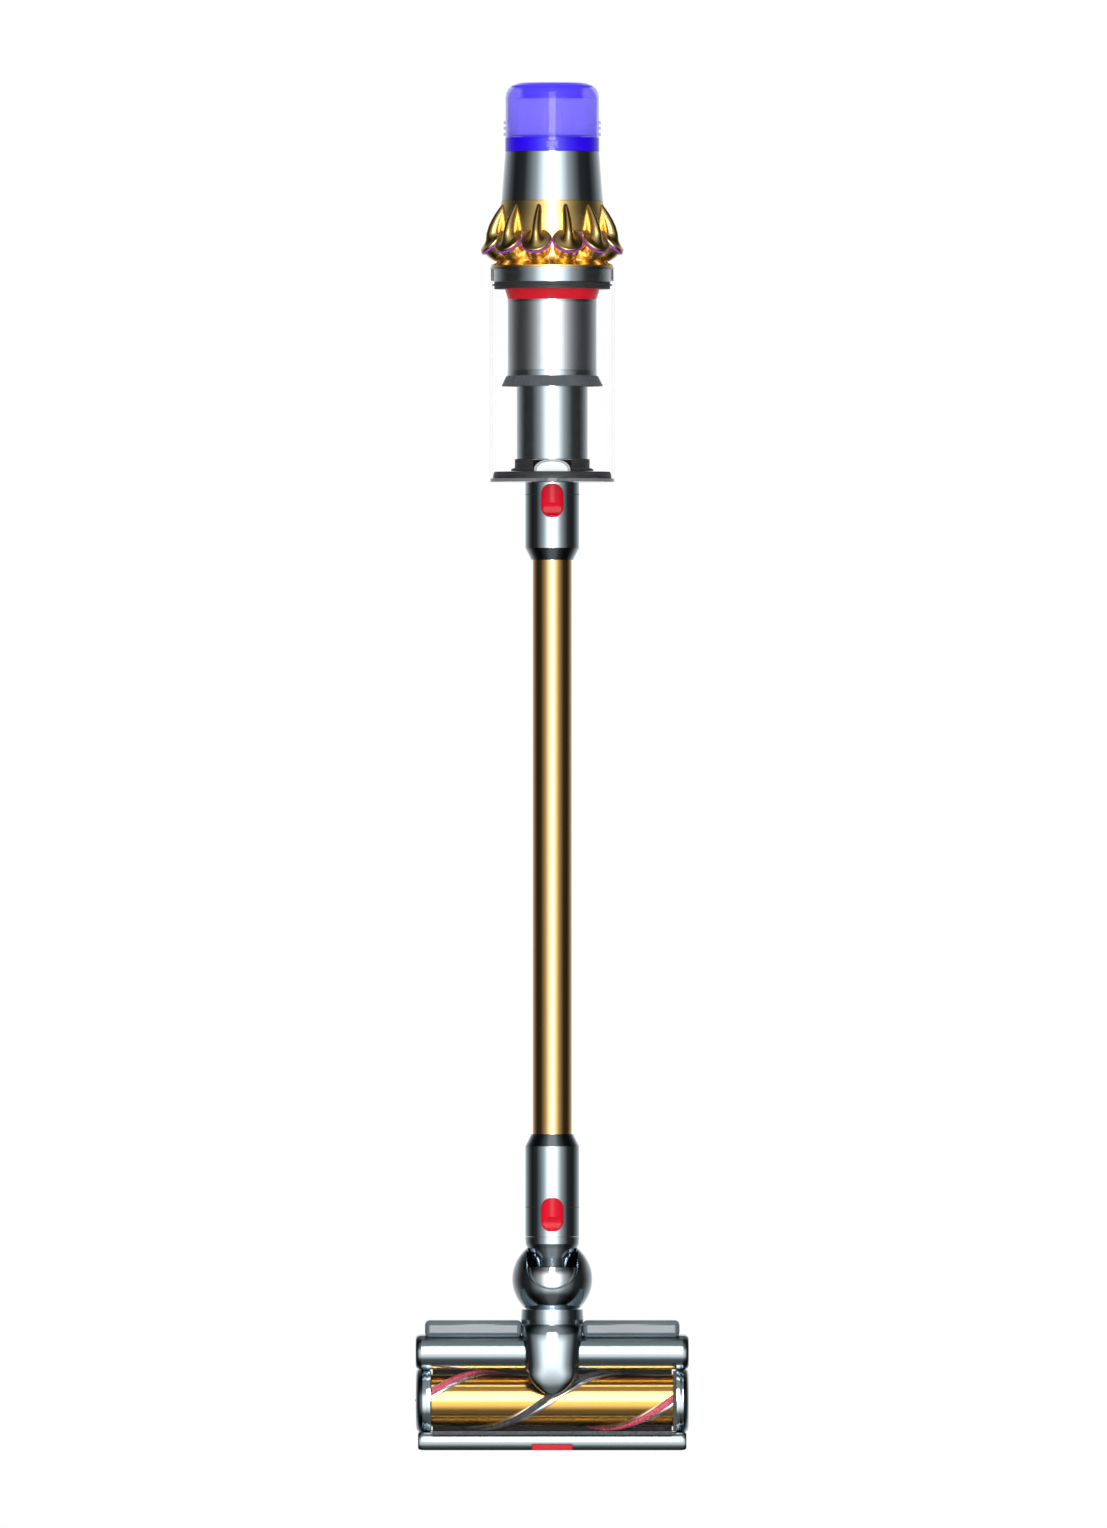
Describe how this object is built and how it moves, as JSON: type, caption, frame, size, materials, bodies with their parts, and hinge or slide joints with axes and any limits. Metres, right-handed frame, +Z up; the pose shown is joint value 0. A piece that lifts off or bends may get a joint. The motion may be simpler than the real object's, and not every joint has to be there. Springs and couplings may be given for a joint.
{
  "type": "cordless upright vacuum cleaner",
  "caption": "Cordless stick vacuum cleaner: cyclone motor unit with pistol grip and clear bin, gold wand, pivoting roller head with window.",
  "frame": {"origin": "centre of the battery's lower end, the face that the wall dock carries", "axes": "+Z up along the wand, +X across the head, +Y towards the wall and the grip"},
  "size_m": [0.2552, 0.2588, 1.2781],
  "materials": {
    "nickel": "satin metallic lacquer over moulded plastic",
    "bright_nickel": "bright satin",
    "gold": "polished gold lacquer",
    "gold_anodised": "gold anodised, polished",
    "aluminium": "brushed",
    "steel": "ground",
    "mesh": "etched mesh",
    "purple_clear": "tinted clear polycarbonate",
    "purple_rubber": "matt",
    "filter_paper": "pleated",
    "clear": "clear polycarbonate",
    "smoked": "smoked",
    "red": "gloss",
    "black_rubber": "matt",
    "dark_plastic": "fine grain",
    "grey_plastic": "satin",
    "copper": "wound wire",
    "cell_wrap": "shrink wrap",
    "carbon_fibre": "soft brush",
    "nylon": "stiff nylon brush"
  },
  "bodies": {
    "hand_unit": {"motor_housing": "nickel", "display_bezel": "dark_plastic", "display_window": "smoked", "cyclone_upper": "gold", "cyclone_gasket": "purple_rubber", "cyclone_lower": "gold", "bin_collar": "nickel", "bin_seal": "black_rubber", "shroud_ring": "red", "mesh_shroud": "mesh", "shroud_skirt": "dark_plastic", "dust_collector": "nickel", "collector_gasket": "black_rubber", "motor_bucket": "dark_plastic", "motor_stator": "copper", "motor_bearings": "steel", "grip_left": "grey_plastic", "grip_right": "grey_plastic", "trigger_spring": "steel", "battery_case": "grey_plastic", "battery_lid": "grey_plastic", "battery_cells": "cell_wrap"},
    "fan": {"motor_rotor": "steel", "impeller": "aluminium"},
    "mode_button": {"mode_button": "grey_plastic"},
    "filter": {"filter_frame": "purple_clear", "filter_media": "filter_paper"},
    "trigger": {"trigger": "red"},
    "bin_release_lever": {"bin_release_lever": "red"},
    "bin": {"clear_bin": "clear", "bin_hinge_pin": "steel"},
    "bin_door": {"bin_door": "smoked", "door_seal": "black_rubber", "inlet_duct": "clear"},
    "wand": {"wand_tube": "gold_anodised", "upper_cuff": "nickel", "lower_cuff": "nickel"},
    "upper_release_button": {"upper_release_button": "red"},
    "lower_release_button": {"lower_release_button": "red"},
    "neck": {"neck_tube": "nickel", "neck_ball": "bright_nickel"},
    "yoke": {"ball_yoke": "nickel", "yoke_caps": "nickel"},
    "head": {"swivel_collar": "nickel", "neck_body": "nickel", "head_housing": "nickel", "rear_strip": "dark_plastic", "front_bumper": "nickel", "sole_plate": "dark_plastic", "roller_window": "clear", "brush_motor": "nickel"},
    "roller_end_cap": {"roller_end_cap": "nickel"},
    "roller": {"roller_core": "gold_anodised", "roller_hubs": "dark_plastic", "nylon_bristles": "nylon", "carbon_bristles": "carbon_fibre", "bristle_channels": "aluminium"},
    "left_wheel": {"left_wheel": "dark_plastic"},
    "right_wheel": {"right_wheel": "dark_plastic"},
    "suction_slider": {"suction_slider": "red"}
  },
  "joints": [
    {"name": "fan_spin", "type": "hinge", "parent": "hand_unit", "child": "fan", "pos_m": [0, -0.165, 0.142], "axis": [0, 0, 1], "continuous": true},
    {"name": "mode_press", "type": "slide", "parent": "hand_unit", "child": "mode_button", "axis": [0, 0, -1], "range_m": [0, 0.0012], "stiffness_N_per_m": 1500, "springref_m": -0.0005},
    {"name": "filter_pull", "type": "slide", "parent": "hand_unit", "child": "filter", "axis": [0, 0, 1], "range_m": [0, 0.09]},
    {"name": "trigger_squeeze", "type": "slide", "parent": "hand_unit", "child": "trigger", "axis": [0, 0, 1], "range_m": [0, 0.005], "stiffness_N_per_m": 600, "springref_m": -0.001, "deforming": ["trigger_spring"]},
    {"name": "bin_release_push", "type": "slide", "parent": "hand_unit", "child": "bin_release_lever", "axis": [0, 0, -1], "range_m": [0, 0.012], "stiffness_N_per_m": 400, "springref_m": -0.003},
    {"name": "wand_pull", "type": "slide", "parent": "hand_unit", "child": "wand", "axis": [0, 0, -1], "range_m": [0, 0.36]},
    {"name": "bin_drop", "type": "slide", "parent": "hand_unit", "child": "bin", "axis": [0, 0, -1], "range_m": [0, 0.03]},
    {"name": "door_swing", "type": "hinge", "parent": "bin", "child": "bin_door", "pos_m": [0, -0.1024, -0.1015], "axis": [1, 0, 0], "range_deg": [0, 88]},
    {"name": "upper_button_press", "type": "slide", "parent": "wand", "child": "upper_release_button", "axis": [0, 1, 0], "range_m": [0, 0.0013], "stiffness_N_per_m": 2500, "springref_m": -0.0006},
    {"name": "lower_button_press", "type": "slide", "parent": "wand", "child": "lower_release_button", "axis": [0, 1, 0], "range_m": [0, 0.0013], "stiffness_N_per_m": 2500, "springref_m": -0.0006},
    {"name": "head_pull", "type": "slide", "parent": "wand", "child": "neck", "axis": [0, 0, -1], "range_m": [0, 0.06]},
    {"name": "neck_pitch", "type": "hinge", "parent": "neck", "child": "yoke", "pos_m": [0, -0.165, -0.8481], "axis": [-1, 0, 0], "range_deg": [0, 64]},
    {"name": "neck_swivel", "type": "hinge", "parent": "yoke", "child": "head", "pos_m": [0, -0.165, -0.883], "axis": [0, 0, 1], "range_deg": [-60, 60]},
    {"name": "end_cap_pull", "type": "slide", "parent": "head", "child": "roller_end_cap", "axis": [-1, 0, 0], "range_m": [0, 0.245]},
    {"name": "roller_spin", "type": "hinge", "parent": "roller_end_cap", "child": "roller", "pos_m": [0, -0.154, -0.9617], "axis": [1, 0, 0], "continuous": true},
    {"name": "left_wheel_roll", "type": "hinge", "parent": "head", "child": "left_wheel", "pos_m": [-0.062, -0.1318, -0.912], "axis": [1, 0, 0], "continuous": true},
    {"name": "right_wheel_roll", "type": "hinge", "parent": "head", "child": "right_wheel", "pos_m": [0.062, -0.1318, -0.912], "axis": [1, 0, 0], "continuous": true},
    {"name": "suction_slide", "type": "slide", "parent": "head", "child": "suction_slider", "axis": [1, 0, 0], "range_m": [-0.008, 0.008]}
  ],
  "couplings": [
    {"joint": "bin_drop", "follows": "wand_pull", "ratio": 0.0833},
    {"joint": "door_swing", "follows": "wand_pull", "rad_per_m": 4.2659}
  ]
}
